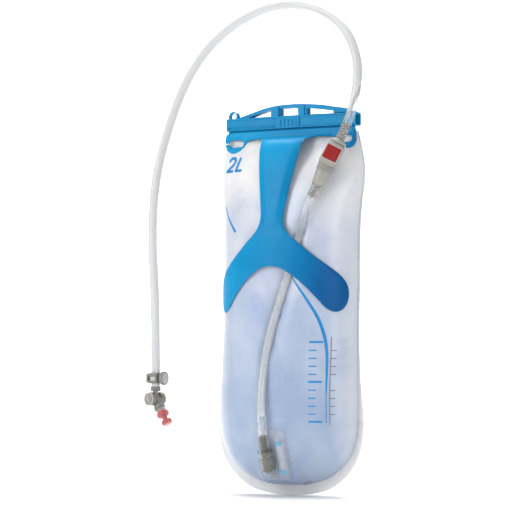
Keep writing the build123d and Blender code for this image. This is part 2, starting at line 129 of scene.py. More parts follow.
def make_floor():
    """A pale floor that curves up into a backdrop behind the object."""
    profile = [(-FLOOR_FRONT, 0.0), (FLOOR_BACK, 0.0)]
    for i in range(1, CURVE_STEPS + 1):
        turn = math.pi / 2 * i / CURVE_STEPS
        profile.append((FLOOR_BACK + CURVE_RADIUS * math.sin(turn), CURVE_RADIUS * (1 - math.cos(turn))))
    profile.append((FLOOR_BACK + CURVE_RADIUS, CURVE_RADIUS + BACKDROP_RISE))
    verts = [at(0, 0, 0) + TOWARD * away + RIGHT * side + UP * up
             for away, up in profile for side in (-FLOOR_HALF_WIDTH, FLOOR_HALF_WIDTH)]
    faces = [(2 * i, 2 * i + 1, 2 * i + 3, 2 * i + 2) for i in range(len(profile) - 1)]
    mesh_object("floor", verts, faces, floor_material())


# ---------------------------------------------------------------- mesh helpers


def mesh_object(name, verts, faces, material):
    mesh = bpy.data.meshes.new(name)
    mesh.from_pydata([tuple(v) for v in verts], [], [tuple(f) for f in faces])
    mesh.update()
    obj = bpy.data.objects.new(name, mesh)
    bpy.context.collection.objects.link(obj)
    mesh.materials.append(material)
    mesh.shade_smooth()
    return obj


def tidy_normals(obj):
    bm = bmesh.new()
    bm.from_mesh(obj.data)
    bmesh.ops.recalc_face_normals(bm, faces=bm.faces)
    bm.to_mesh(obj.data)
    bm.free()
    return obj


def soften(obj, angle=35):
    """Smooth shading that keeps edges sharper than angle."""
    limit = math.radians(angle)
    bm = bmesh.new()
    bm.from_mesh(obj.data)
    for edge in bm.edges:
        sharp = len(edge.link_faces) != 2 or edge.calc_face_angle(0) > limit
        edge.smooth = not sharp
    for face in bm.faces:
        face.smooth = True
    bm.to_mesh(obj.data)
    bm.free()
    return obj


def ring_faces(rings, count):
    """Quads between rings of count points each, with fans over both ends."""
    faces = []
    for i in range(rings - 1):
        for j in range(count):
            k = (j + 1) % count
            faces.append((i * count + j, i * count + k, (i + 1) * count + k, (i + 1) * count + j))
    faces.append(tuple(reversed(range(count))))
    faces.append(tuple(range((rings - 1) * count, rings * count)))
    return faces


def lathe(name, profile, place, material, segments=48):
    """A solid of revolution about the place's Z axis. The profile runs (radius, height) in mm."""
    verts = []
    for r, z in profile:
        for j in range(segments):
            turn = 2 * math.pi * j / segments
            verts.append(place @ (Vector((r * math.cos(turn), r * math.sin(turn), z)) * MM))
    obj = mesh_object(name, verts, ring_faces(len(profile), segments), material)
    return soften(tidy_normals(obj))


def rounded_profile(points, bevel=0.3, steps=3):
    """The same profile with each inner corner rounded by about bevel."""
    rounded = [points[0]]
    for before, here, after in zip(points, points[1:], points[2:]):
        a, b, c = Vector(before), Vector(here), Vector(after)
        cut = min(bevel, (a - b).length * 0.45, (c - b).length * 0.45)
        start, end = b + (a - b).normalized() * cut, b + (c - b).normalized() * cut
        for i in range(steps + 1):
            t = i / steps
            rounded.append(tuple((1 - t) ** 2 * start + 2 * t * (1 - t) * b + t * t * end))
    rounded.append(points[-1])
    return rounded


def superellipse(half_x, half_y, power, count):
    points = []
    for j in range(count):
        turn = 2 * math.pi * j / count
        c, s = math.cos(turn), math.sin(turn)
        points.append((
            half_x * math.copysign(abs(c) ** (2 / power), c),
            half_y * math.copysign(abs(s) ** (2 / power), s),
        ))
    return points


def loft_object(name, sections, place, material, count=64):
    """A body through (height, half x, half y, squareness) sections along the place's Z axis."""
    verts = []
    for z, half_x, half_y, power in sections:
        for x, y in superellipse(half_x, half_y, power, count):
            verts.append(place @ (Vector((x, y, z)) * MM))
    return soften(tidy_normals(mesh_object(name, verts, ring_faces(len(sections), count), material)), 40)


def rounded_box(name, size, centre, place, material, bevel=1.0, segments=4):
    bm = bmesh.new()
    bmesh.ops.create_cube(bm, size=1)
    for v in bm.verts:
        v.co = Vector((v.co.x * size[0], v.co.y * size[1], v.co.z * size[2]))
    bmesh.ops.bevel(bm, geom=bm.edges[:], offset=bevel, segments=segments, profile=0.5, affect="EDGES")
    for v in bm.verts:
        v.co = place @ ((v.co + Vector(centre)) * MM)
    mesh = bpy.data.meshes.new(name)
    bmesh.ops.recalc_face_normals(bm, faces=bm.faces)
    bm.to_mesh(mesh)
    bm.free()
    mesh.materials.append(material)
    obj = bpy.data.objects.new(name, mesh)
    bpy.context.collection.objects.link(obj)
    return soften(obj)


def join(name, objects):
    """Several objects of one material as one mesh."""
    bm = bmesh.new()
    for obj in objects:
        bm.from_mesh(obj.data)
    mesh = bpy.data.meshes.new(name)
    bm.to_mesh(mesh)
    bm.free()
    mesh.materials.append(objects[0].data.materials[0])
    for obj in objects:
        bpy.data.objects.remove(obj)
    whole = bpy.data.objects.new(name, mesh)
    bpy.context.collection.objects.link(whole)
    return whole


def smooth_line(points, per_span=8):
    """A Catmull-Rom line through the points, as tuples of any length."""
    line = []
    for i in range(len(points) - 1):
        p = [Vector(points[max(0, min(len(points) - 1, i + k))]) for k in (-1, 0, 1, 2)]
        for step in range(per_span):
            t = step / per_span
            line.append(0.5 * (
                2 * p[1] + (p[2] - p[0]) * t + (2 * p[0] - 5 * p[1] + 4 * p[2] - p[3]) * t * t
                + (3 * p[1] - p[0] - 3 * p[2] + p[3]) * t ** 3
            ))
    line.append(Vector(points[-1]))
    return line


def nurbs_path(name, route):
    """Points along the smooth NURBS line of a route, whose control points are in the bag's millimetres."""
    curve = bpy.data.curves.new(name, "CURVE")
    curve.dimensions = "3D"
    curve.resolution_u = 14
    spline = curve.splines.new("NURBS")
    spline.points.add(len(route) - 1)
    for point, place in zip(spline.points, route):
        point.co = (*at(*place), 1)
    spline.order_u = 3
    spline.use_endpoint_u = True
    holder = bpy.data.objects.new(name, curve)
    bpy.context.collection.objects.link(holder)
    line = bpy.data.meshes.new_from_object(holder)
    points = [v.co.copy() for v in line.vertices]
    bpy.data.objects.remove(holder)
    bpy.data.meshes.remove(line)
    return points


def path_frames(points):
    """A normal and a binormal at each point, without twist."""
    tangents = []
    for i in range(len(points)):
        tangents.append((points[min(i + 1, len(points) - 1)] - points[max(i - 1, 0)]).normalized())
    normal = tangents[0].orthogonal().normalized()
    frames = []
    for tangent in tangents:
        normal = (normal - tangent * normal.dot(tangent)).normalized()
        frames.append((normal, tangent.cross(normal)))
    return frames


def tube_object(name, points, radius, bore, material, segments=28):
    """A tube, hollow if it has a bore, along points in the frame. Radii in mm."""
    frames = path_frames(points)
    walls = [radius, bore] if bore else [radius]
    verts, faces = [], []
    for wall, r in enumerate(walls):
        base = len(verts)
        for point, (n, b) in zip(points, frames):
            for j in range(segments):
                turn = 2 * math.pi * j / segments
                verts.append(point + (n * math.cos(turn) + b * math.sin(turn)) * r * MM)
        for i in range(len(points) - 1):
            for j in range(segments):
                k = (j + 1) % segments
                a, c = base + i * segments, base + (i + 1) * segments
                faces.append((a + j, a + k, c + k, c + j) if wall == 0 else (a + j, c + j, c + k, a + k))
    last = (len(points) - 1) * segments
    if bore:
        inner = len(points) * segments
        for j in range(segments):
            k = (j + 1) % segments
            faces.append((j, inner + j, inner + k, k))
            faces.append((last + j, last + k, inner + last + k, inner + last + j))
    else:
        faces.append(tuple(reversed(range(segments))))
        faces.append(tuple(range(last, last + segments)))
    return soften(tidy_normals(mesh_object(name, verts, faces, material)), 50)


def give(obj, body, slot, *nodes):
    """obj rides on a body and stands for the nodes named. The slot argument is not used."""
    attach(obj, body)
    if nodes:
        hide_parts(*nodes)
    return obj


# ---------------------------------------------------------------- materials


def new_material(name):
    material = bpy.data.materials.new(name)
    material.use_nodes = True
    nodes, links = material.node_tree.nodes, material.node_tree.links
    shader = nodes["Principled BSDF"]
    place = nodes.new("ShaderNodeTexCoord")
    return material, nodes, links, shader, place.outputs["Object"]


def add_noise(nodes, links, coords, scale, detail=3.0, rough=0.55):
    texture = nodes.new("ShaderNodeTexNoise")
    texture.inputs["Scale"].default_value = scale
    texture.inputs["Detail"].default_value = detail
    texture.inputs["Roughness"].default_value = rough
    links.new(coords, texture.inputs["Vector"])
    return texture.outputs["Fac"]


def add_ramp(nodes, links, value, stops):
    ramp = nodes.new("ShaderNodeValToRGB")
    elements = ramp.color_ramp.elements
    while len(elements) < len(stops):
        elements.new(0.5)
    for element, (position, color) in zip(elements, stops):
        element.position = position
        element.color = (*color, 1)
    links.new(value, ramp.inputs["Fac"])
    return ramp.outputs["Color"]


def add_range(nodes, links, value, low, high, from_low=0.3, from_high=0.7):
    node = nodes.new("ShaderNodeMapRange")
    node.inputs["From Min"].default_value = from_low
    node.inputs["From Max"].default_value = from_high
    node.inputs["To Min"].default_value = low
    node.inputs["To Max"].default_value = high
    links.new(value, node.inputs["Value"])
    return node.outputs["Result"]


def add_bump(nodes, links, height, strength, distance, shader, before=None):
    bump = nodes.new("ShaderNodeBump")
    bump.inputs["Strength"].default_value = strength
    bump.inputs["Distance"].default_value = distance
    links.new(height, bump.inputs["Height"])
    if before:
        links.new(before, bump.inputs["Normal"])
    links.new(bump.outputs["Normal"], shader.inputs["Normal"])
    return bump.outputs["Normal"]


def add_scaled(nodes, links, value, factor, plus=None):
    """value * factor, with another value added to it if one is given."""
    node = nodes.new("ShaderNodeMath")
    node.operation = "MULTIPLY" if plus is None else "MULTIPLY_ADD"
    links.new(value, node.inputs[0])
    node.inputs[1].default_value = factor
    if plus is not None:
        links.new(plus, node.inputs[2])
    return node.outputs[0]


def add_mix(nodes, links, a, b, factor=1.0, blend="MULTIPLY"):
    """Two colours mixed. Each input is a socket or a constant."""
    mix = nodes.new("ShaderNodeMix")
    mix.data_type = "RGBA"
    mix.blend_type = blend
    for name, value in (("Factor", factor), ("A", a), ("B", b)):
        if isinstance(value, bpy.types.NodeSocket):
            links.new(value, mix.inputs[name])
        else:
            mix.inputs[name].default_value = value
    return mix.outputs["Result"]


def add_split(nodes, links, coords):
    split = nodes.new("ShaderNodeSeparateXYZ")
    links.new(coords, split.inputs["Vector"])
    return split.outputs["X"], split.outputs["Z"]


def add_wall_tint(nodes, links, tone, edge, start):
    """The colour of a clear wall, darker edge on. On clear walls that is partly the deeper wall there and
    partly painted shade by the way the surface faces; on the nearly opaque materials it is all painted shade.
    """
    facing = nodes.new("ShaderNodeLayerWeight")
    facing.inputs["Blend"].default_value = 0.35
    dim = tuple(c * edge for c in tone)
    return add_ramp(nodes, links, facing.outputs["Facing"], [(start, tone), (0.9, dim)])


# The plate's painted light and shade runs along this slant of X and Z, between these two levels.
PLATE_LIGHT_SLANT = -0.4
PLATE_PAINTED_LIGHT_REACH = (-0.02, 0.12)


def painted_light_across(nodes, links, coords, color, stops):
    """Painted light and shade: multiplies a colour by a slow ramp, from the upper left of the part to its
    lower right.
    """
    x, z = add_split(nodes, links, coords)
    slant = add_scaled(nodes, links, z, PLATE_LIGHT_SLANT, x)
    level = add_range(nodes, links, slant, 0.0, 1.0, *PLATE_PAINTED_LIGHT_REACH)
    return add_mix(nodes, links, color, add_ramp(nodes, links, level, stops))


def moulded(name, dark, light, rough, gloss=0.45, shade=None):
    """Moulded plastic: slow random changes of tone, a fine spark-eroded grain and worn, uneven gloss. A shade
    ramp, if given, adds painted light and shade across the part.
    """
    material, nodes, links, shader, coords = new_material(name)
    color = add_ramp(nodes, links, add_noise(nodes, links, coords, 22, 4), [(0.3, dark), (0.7, light)])
    if shade:
        color = painted_light_across(nodes, links, coords, color, shade)
    links.new(color, shader.inputs["Base Color"])
    links.new(add_range(nodes, links, add_noise(nodes, links, coords, 90, 5), rough - 0.06, rough + 0.08),
              shader.inputs["Roughness"])
    add_bump(nodes, links, add_noise(nodes, links, coords, 1400, 2), 0.35, 0.00004, shader)
    shader.inputs["Specular IOR Level"].default_value = gloss
    return material


def clear_material(name, color, rough, alpha, ior=1.45, haze=0.0, ripple=260, depth=0.25, edge=0.75):
    """Clear plastic, rubber or silicone."""
    material, nodes, links, shader, coords = new_material(name)
    links.new(add_wall_tint(nodes, links, color, edge, 0.25), shader.inputs["Base Color"])
    links.new(add_range(nodes, links, add_noise(nodes, links, coords, 60, 4), rough * 0.8, rough * 1.25),
              shader.inputs["Roughness"])
    shader.inputs["IOR"].default_value = ior
    shader.inputs["Transmission Weight"].default_value = 1.0 - haze
    shader.inputs["Alpha"].default_value = alpha
    add_bump(nodes, links, add_noise(nodes, links, coords, ripple, 3), depth, 0.00005, shader)
    return material


CLEAR_TONE = (0.97, 0.975, 0.98)


def hose_material(name, milky, weights, reach, stops):
    """Clear tube, milky along its length and clearest over the barbs.

    How clear it is runs over stops, along weights times X and Z, between the ends of reach.
    """
    material, nodes, links, shader, coords = new_material(name)
    x, z = add_split(nodes, links, coords)
    place = add_scaled(nodes, links, z, weights[1], add_scaled(nodes, links, x, weights[0]))
    level = add_range(nodes, links, place, 0.0, 1.0, *reach)
    clear = add_ramp(nodes, links, level, [(position, (value,) * 3) for position, value in stops])
    # Both tints darken edge on: painted shade along the tube's edges, partly the deeper wall there.
    cloudy = add_wall_tint(nodes, links, milky, 0.72, 0.3)
    glassy = add_wall_tint(nodes, links, CLEAR_TONE, 0.42, 0.3)
    links.new(add_mix(nodes, links, cloudy, glassy, clear, "MIX"), shader.inputs["Base Color"])
    links.new(add_range(nodes, links, clear, 0.22, 0.93), shader.inputs["Transmission Weight"])
    links.new(add_range(nodes, links, clear, 0.94, 0.66), shader.inputs["Alpha"])
    links.new(add_range(nodes, links, add_noise(nodes, links, coords, 60, 4), 0.04, 0.08),
              shader.inputs["Roughness"])
    shader.inputs["IOR"].default_value = 1.24
    shader.inputs["Coat Weight"].default_value = 0.3
    shader.inputs["Coat Roughness"].default_value = 0.08
    return material


def floor_material():
    material, nodes, links, shader, coords = new_material("pale_floor")
    shade = add_noise(nodes, links, coords, 3)
    links.new(add_ramp(nodes, links, shade, [(0.2, (0.93, 0.93, 0.93)), (0.8, (0.95, 0.95, 0.95))]),
              shader.inputs["Base Color"])
    shader.inputs["Roughness"].default_value = 0.9
    shader.inputs["Specular IOR Level"].default_value = 0.0
    return material


def film_material():
    """Frosted film: lavender where it holds water, whiter above the water and along the welds."""
    material, nodes, links, shader, coords = new_material("film")
    x, z = add_split(nodes, links, coords)
    haze = add_noise(nodes, links, coords, 11, 4)
    height = add_scaled(nodes, links, haze, 0.09, z)
    level = add_range(nodes, links, height, 0.0, 1.0, FOOT_Z + 0.045, FOOT_Z + 0.445)
    water = add_ramp(nodes, links, level, [
        (0.02, (0.31, 0.39, 0.53)), (0.18, (0.34, 0.425, 0.57)), (0.45, (0.44, 0.51, 0.65)),
        (0.68, (0.57, 0.60, 0.69)), (0.80, (0.66, 0.67, 0.71)), (0.93, (0.72, 0.72, 0.73)),
    ])
    patches = add_ramp(nodes, links, add_noise(nodes, links, coords, 14, 3), [
        (0.36, (0.82, 0.87, 0.94)), (0.62, (1.18, 1.13, 1.06)),
    ])
    across = nodes.new("ShaderNodeMath")
    across.operation = "ABSOLUTE"
    links.new(x, across.inputs[0])
    weld = add_range(nodes, links, add_scaled(nodes, links, haze, 0.022, across.outputs[0]),
                     0.0, 0.65, 0.066, 0.088)
    filled = add_mix(nodes, links, water, patches)
    links.new(add_mix(nodes, links, filled, (0.80, 0.81, 0.84, 1), weld, "MIX"),
              shader.inputs["Base Color"])
    links.new(add_range(nodes, links, add_noise(nodes, links, coords, 30, 4), 0.26, 0.42),
              shader.inputs["Roughness"])
    shader.inputs["Alpha"].default_value = 0.93
    shader.inputs["Subsurface Weight"].default_value = 0.3
    shader.inputs["Subsurface Radius"].default_value = (0.02, 0.022, 0.03)
    shader.inputs["Coat Weight"].default_value = 0.2
    shader.inputs["Coat Roughness"].default_value = 0.2
    coarse = add_bump(nodes, links, add_noise(nodes, links, coords, 26, 3), 0.35, 0.0016, shader)
    add_bump(nodes, links, add_noise(nodes, links, coords, 900, 2), 0.15, 0.00004, shader, coarse)
    return material


def make_materials():
    return {
        "blue": moulded("blue_plastic", (0.0, 0.205, 0.43), (0.0, 0.25, 0.49), 0.42, gloss=0.2),
        # The plate's blue is painted with light and shade: lighter at the upper left arm, deeper toward the
        # tip of the lower right arm.
        "plate": moulded("blue_plate", (0.0, 0.19, 0.41), (0.0, 0.235, 0.48), 0.42, gloss=0.18, shade=[
            (0.0, (1.0, 1.3, 1.2)), (0.36, (1.0, 1.0, 1.0)), (0.6, (1.0, 0.92, 0.94)),
            (0.95, (1.0, 0.42, 0.62)),
        ]),
        "grey": moulded("grey_plastic", (0.29, 0.28, 0.245), (0.36, 0.35, 0.32), 0.38),
        "grey_light": moulded("grey_plastic_light", (0.34, 0.33, 0.315), (0.43, 0.42, 0.40), 0.34),
        # A darker copy of the grey plastic, for the barbs, the valve and the clip: painted shade.
        "deep": moulded("grey_plastic_deep", (0.17, 0.165, 0.145), (0.24, 0.23, 0.21), 0.36),
        "core": moulded("port_core_grey", (0.10, 0.095, 0.08), (0.19, 0.18, 0.155), 0.4),
        "dark": moulded("shadow_grey", (0.05, 0.05, 0.045), (0.08, 0.08, 0.07), 0.6),
        "red": moulded("red_plastic", (0.26, 0.012, 0.011), (0.32, 0.02, 0.018), 0.4, gloss=0.3),
        "pale": moulded("pale_plastic", (0.42, 0.415, 0.39), (0.52, 0.515, 0.49), 0.38),
        "black": moulded("black_rubber", (0.015, 0.015, 0.015), (0.03, 0.03, 0.03), 0.6),
        "steel": moulded("magnet_nickel", (0.36, 0.35, 0.34), (0.46, 0.45, 0.44), 0.3),
        "film": film_material(),
        "flange": clear_material("film_flange", (0.72, 0.72, 0.73), 0.3, 0.8, haze=0.94, edge=0.85),
        "hose": hose_material("clear_hose", (0.72, 0.725, 0.73), (1.0, -0.4), (0.0640, 0.0665),
                              [(0.0, 0.0), (1.0, 1.0)]),
        "lower_hose": hose_material("clear_lower_hose", (0.78, 0.80, 0.83), (0.0, 1.0), (-0.32, -0.05),
                                    [(0.10, 1.0), (0.15, 0.55), (0.79, 0.55), (0.87, 1.0)]),
        "clear": clear_material("clear_moulding", (0.90, 0.93, 0.97), 0.1, 0.42, haze=0.35),
        "housing": clear_material("clear_housing", (0.93, 0.95, 0.96), 0.06, 0.38, 1.25, 0.12, 60, 0.05, 0.6),
        "pad": clear_material("clear_blue_pad", (0.20, 0.50, 0.76), 0.25, 0.75, haze=0.7),
        "silicone": clear_material("clear_silicone", (0.93, 0.86, 0.86), 0.12, 0.3, 1.2, 0.15, 120, 0.1, 0.45),
        "strap": clear_material("clear_strap", (0.93, 0.93, 0.91), 0.25, 0.5, haze=0.6),
        "red_clear": clear_material("red_silicone", (0.42, 0.02, 0.018), 0.3, 1.0, haze=1.0),
        "print_blue": moulded("print_blue", (0.0, 0.20, 0.50), (0.01, 0.24, 0.56), 0.4),
        "print_grey": moulded("print_grey", (0.16, 0.17, 0.20), (0.22, 0.23, 0.26), 0.45),
    }


# ---------------------------------------------------------------- hoses and tether

HOSE_R = 4.75
HOSE_BORE_R = 3.2
LOWER_ROUTE = [
    (-8.4, -45.61, 49.24), (-8.4, -52.71, 69.85), (-10.2, -50.4, 101.0), (-8.6, -46.0, 138.0),
    (-0.5, -44.0, 174.0), (10.5, -42.0, 208.0), (21.5, -41.0, 241.0), (31.0, -41.2, 272.0),
    (39.1, -43.96, 295.47), (47.52, -38.63, 315.09),
]
UPPER_ROUTE = [
    (67.45, -26.02, 361.55), (76.63, -20.21, 382.95), (81.0, -15.5, 410.0), (82.6, -13.0, 441.0),
    (67.0, -11.0, 478.0), (31.0, -8.0, 502.0), (-12.0, -5.5, 508.5), (-62.0, 4.0, 498.0),
    (-107.0, 10.0, 472.5), (-139.0, 15.0, 435.5), (-161.0, 17.5, 389.5), (-176.8, 16.5, 336.0),
    (-178.8, 12.0, 275.5), (-170.8, 5.5, 215.0), (-166.0, 0.0, 160.0), (-166.0, 0.0, 110.0),
]
TETHER_ROUTE = [
    (-79.4, -8.4, 363.6), (-86.6, -9.6, 358.6), (-94.6, -9.8, 360.0), (-94.8, -8.2, 373.0),
    (-88.0, -5.8, 390.0), (-76.5, -4.0, 403.6), (-63.5, -3.2, 411.6), (-55.6, -3.2, 406.6),
    (-61.5, -4.2, 399.4), (-69.0, -3.6, 395.2), (-69.6, 3.0, 393.4),
]
TETHER_R = 1.3


def make_hoses(m):
    lower = nurbs_path("lower_route", LOWER_ROUTE)
    hose = tube_object("lower_hose_tube", lower, HOSE_R, HOSE_BORE_R, m["lower_hose"])
    give(hose, "reservoir", "clear_hose", "lower_hose")
    upper = nurbs_path("upper_route", UPPER_ROUTE)
    drink = tube_object("drinking_hose_tube", upper, HOSE_R, HOSE_BORE_R, m["hose"])
    give(drink, "drinking_hose", "clear_hose", "upper_hose")
    strap = nurbs_path("tether_route", TETHER_ROUTE)
    tether = tube_object("tether_strap", strap, TETHER_R, 0, m["strap"], 16)
    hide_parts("tether")
    return (hose, lower), (drink, upper), (tether, strap)


# ---------------------------------------------------------------- bag

# height, half width, front depth, back depth, squareness of the section
BAG = [
    (372, 74.5, 3.2, 3.0, 2.6), (364, 76.5, 4.2, 3.8, 2.6), (356, 78.5, 7.5, 6.5, 2.4),
    (346, 80.5, 16, 13, 2.2), (334, 81.5, 26, 18, 2.15), (318, 80.5, 34.0, 22.5, 2.2),
    (300, 78, 38.5, 26, 2.3), (262, 75.2, 43.8, 29, 2.35), (200, 74.6, 45.2, 30, 2.35),
    (140, 75.6, 45.6, 31, 2.35), (100, 77.2, 45.0, 31, 2.35), (69, 77.6, 42.4, 29, 2.3),
    (45, 71.5, 35.6, 26, 2.2), (30, 60, 29.5, 21, 2.15), (21, 48.5, 23.5, 16, 2.1),
    (15, 35, 15.0, 11, 2.1), (11.2, 20, 5, 4.2, 2.0),
]
FLANGE = [
    (76, 372), (80.5, 352), (83, 335), (82.5, 318), (80, 300), (77.8, 262), (77.2, 200),
    (78, 150), (80.5, 110), (84, 80), (84, 62), (78.5, 40), (66, 22), (47, 8), (25, 2), (0, 0),
]
BAG_ROWS = 120
BAG_COLUMNS = 112
LEAN = -3.2


def lean(z):
    """How far the soft foot of the bag stands to the left of the closure."""
    t = max(0.0, min(1.0, (230 - z) / 170))
    return LEAN * t * t * (3 - 2 * t)


def table_at(table, z, column):
    """A smooth value between a table's rows, which run down from the top."""
    for i in range(len(table) - 1):
        if z >= table[i + 1][0]:
            break
    p = [table[max(0, min(len(table) - 1, i + k))] for k in (-1, 0, 1, 2)]
    span = p[1][0] - p[2][0]
    t = max(0.0, min(1.0, (p[1][0] - z) / span))
    slopes = []
    for a, b, c in ((p[0], p[1], p[2]), (p[1], p[2], p[3])):
        rise_before = (b[column] - a[column]) / (a[0] - b[0]) if a is not b else 0
        rise_after = (c[column] - b[column]) / (b[0] - c[0]) if b is not c else 0
        flat = rise_before * rise_after <= 0
        slopes.append(0 if flat else 2 * rise_before * rise_after / (rise_before + rise_after))
    h00, h10 = 2 * t ** 3 - 3 * t * t + 1, t ** 3 - 2 * t * t + t
    h01, h11 = 3 * t * t - 2 * t ** 3, t ** 3 - t * t
    return h00 * p[1][column] + h10 * span * slopes[0] + h01 * p[2][column] + h11 * span * slopes[1]


def bag_rows():
    """Heights of the bag's rings, closer together towards the foot and the mouth."""
    top, low = BAG[0][0], BAG[-1][0]
    heights = []
    for i in range(BAG_ROWS + 1):
        t = i / BAG_ROWS
        eased = t - 0.10 * math.sin(2 * math.pi * t)
        heights.append(top + (low - top) * eased)
    return heights


def make_belly(m):
    """The closed bag before pressure: rings of superellipses with welded sides."""
    verts = []
    rows = bag_rows()
    for z in rows:
        half, front, back, power = (table_at(BAG, z, k) for k in (1, 2, 3, 4))
        for x, y in superellipse(half, 1, power, BAG_COLUMNS):
            verts.append(at(x + lean(z), -y * front if y > 0 else -y * back, z))
    return tidy_normals(mesh_object("bag", verts, ring_faces(len(rows), BAG_COLUMNS), m["film"]))


def blow_up(bag, frames=18, cap=0.0035):
    """Cloth with inside pressure: the film tightens between its welds and puckers beside them."""
    rest = [v.co.copy() for v in bag.data.vertices]
    pins = bag.vertex_groups.new(name="weld")
    for i, v in enumerate(rest):
        row, column = divmod(i, BAG_COLUMNS)
        at_side = min(column, abs(column - BAG_COLUMNS // 2), BAG_COLUMNS - column) <= 0
        if at_side or row < 2 or row > BAG_ROWS - 2:
            pins.add([i], 1.0, "REPLACE")
    cloth = bag.modifiers.new("cloth", "CLOTH")
    settings = cloth.settings
    settings.quality = 6
    settings.mass = 0.2
    settings.tension_stiffness = 12
    settings.compression_stiffness = 12
    settings.shear_stiffness = 4
    settings.bending_stiffness = 0.06
    settings.use_pressure = True
    settings.uniform_pressure_force = 3.0
    settings.vertex_group_mass = "weld"
    settings.effector_weights.gravity = 0
    cloth.collision_settings.use_collision = False
    scene = bpy.context.scene
    cloth.point_cache.frame_start, cloth.point_cache.frame_end = 1, frames
    for number in range(1, frames + 1):
        scene.frame_set(number)
    shaped = bag.evaluated_get(bpy.context.evaluated_depsgraph_get()).to_mesh()
    moved = [v.co.copy() for v in shaped.vertices]
    bag.modifiers.remove(cloth)
    scene.frame_set(1)
    for v, start, end in zip(bag.data.vertices, rest, moved):
        step = end - start
        if step.length > cap:
            step *= cap / step.length
        v.co = start + step


def crease(x, z):
    """Fine lasting folds: puckers beside the welds, and pleats that fan down from the closure."""
    side = min(abs(x - 78), abs(x + 78))
    near = math.exp(-(side / 13.0) ** 2)
    wave = math.sin(z / 5.1 + 1.7 * noise.noise(Vector((x * 0.02, 0, z * 0.03))))
    pucker = 0.55 * near * wave * (0.5 + noise.noise(Vector((3.1, x * 0.01, z * 0.02))))
    top = math.exp(-((372 - z) / 34.0) ** 2)
    pleat = 0.9 * top * math.sin(x / 7.5 + 2.2 * noise.noise(Vector((x * 0.03, 5.0, z * 0.02))))
    slow = 1.3 * noise.noise(Vector((x * 0.018, 9.0, z * 0.009)))
    return pucker + pleat + slow * min(1.0, side / 30)


def shape_front(bag, hose_line):
    """Press the film in behind the lower hose, flat under the port, and add its lasting folds."""
    into_port = PORT.inverted()
    for v in bag.data.vertices:
        x = v.co.x / MM - lean((v.co.z - FOOT_Z) / MM)
        z = (v.co.z - FOOT_Z) / MM
        front = v.co.y < WELD_Y
        fullness = min(1.0, abs(v.co.y - WELD_Y) / (12 * MM))
        v.co.y += (-1 if front else 1) * crease(x, z) * fullness * MM
        if not front:
            continue
        near = min(hose_line, key=lambda p: (p.x - v.co.x) ** 2 + (p.z - v.co.z) ** 2)
        off = math.hypot(near.x - v.co.x, near.z - v.co.z) / MM
        hug = near.y + math.sqrt(max(0.0, (HOSE_R + 0.25) ** 2 - off * off)) * MM
        share = smooth_step((off - 2.5) / 17)
        v.co.y = max(v.co.y, hug * (1 - share) + v.co.y * share)
        local = into_port @ v.co
        past_x = max(0.0, abs(local.x) / MM - 15.5)
        past_z = max(0.0, local.z / MM - 25.5, -29.5 - local.z / MM)
        share = smooth_step(math.hypot(past_x, past_z) / 13)
        local.y = 0.25 * MM * (1 - share) + local.y * share
        v.co = PORT @ local


def smooth_step(t):
    t = max(0.0, min(1.0, t))
    return t * t * (3 - 2 * t)


FLANGE_IN = 17.0


def make_flange(m):
    """The weld margin round the bag: two films pressed together, with a heat-weld line."""
    right = smooth_line(FLANGE, 7)
    outline = [Vector(p) for p in right] + [Vector((-p[0], p[1])) for p in reversed(right[:-1])]
    inward = []
    for i, p in enumerate(outline):
        along = (outline[min(i + 1, len(outline) - 1)] - outline[max(i - 1, 0)]).normalized()
        inward.append(Vector((along.y, -along.x)))
    rings = 12
    verts, faces = [], []
    for side in (-1, 1):
        for ring in range(rings + 1):
            share = ring / rings
            for p, n in zip(outline, inward):
                x, z = p + n * FLANGE_IN * (1 - share)
                outer = smooth_step((share - 0.4) / 0.6)
                ripple = 2.4 * outer * noise.noise(Vector((x * 0.018, z * 0.018, 4.0)))
                weld = 0.45 if ring in (8, 9) else 0.75
                thick = 0.35 if ring == rings else weld
                verts.append(at(x + lean(z), ripple * (0 if z > 350 else 1) + side * thick * 0.5, z))
    count = len(outline)
    half = count * (rings + 1)
    for ring in range(rings):
        for j in range(count - 1):
            a, b = ring * count + j, (ring + 1) * count + j
            faces.append((a, a + 1, b + 1, b))
            faces.append((half + a, half + b, half + b + 1, half + a + 1))
    for j in range(count - 1):
        a = rings * count + j
        faces.append((a, a + 1, half + a + 1, half + a))
    return soften(tidy_normals(mesh_object("weld_flange", verts, faces, m["flange"])), 60)


def make_fold(m):
    """The neck of the bag, folded over the rail inside the slider."""
    profile = rounded_profile([
        (-1.1, 371.0), (-1.0, 379.3), (-3.6, 379.6), (-3.6, 386.4), (3.6, 386.4), (3.6, 379.6),
        (1.0, 379.3), (1.1, 371.0),
    ], 0.9)
    rings = 60
    verts = []
    for i in range(rings + 1):
        x = -70.5 + 141.0 * i / rings
        for y, z in profile:
            free = smooth_step((379 - z) / 6)
            verts.append(at(x * (1 + 0.05 * free), y + 0.7 * free * math.sin(x / 4.3), z))
    fold = mesh_object("mouth_fold", verts, ring_faces(rings + 1, len(profile)), m["flange"])
    return soften(tidy_normals(fold), 60)


def print_on(name, bag, shapes, material, lift=0.22):
    """Ink on the front film: flat shapes, each a list of rows of (x, z), laid on the bag's surface."""
    tree = BVHTree.FromObject(bag, bpy.context.evaluated_depsgraph_get())
    verts, faces = [], []
    for rows in shapes:
        base, width = len(verts), len(rows[0])
        for row in rows:
            for x, z in row:
                hit = tree.ray_cast(at(x + lean(z), -90, z), Vector((0, 1, 0)))[0]
                verts.append(hit - Vector((0, lift * MM, 0)))
        for i in range(len(rows) - 1):
            for j in range(width - 1):
                a = base + i * width + j
                faces.append((a, a + 1, a + width + 1, a + width))
    return mesh_object(name, verts, faces, material)


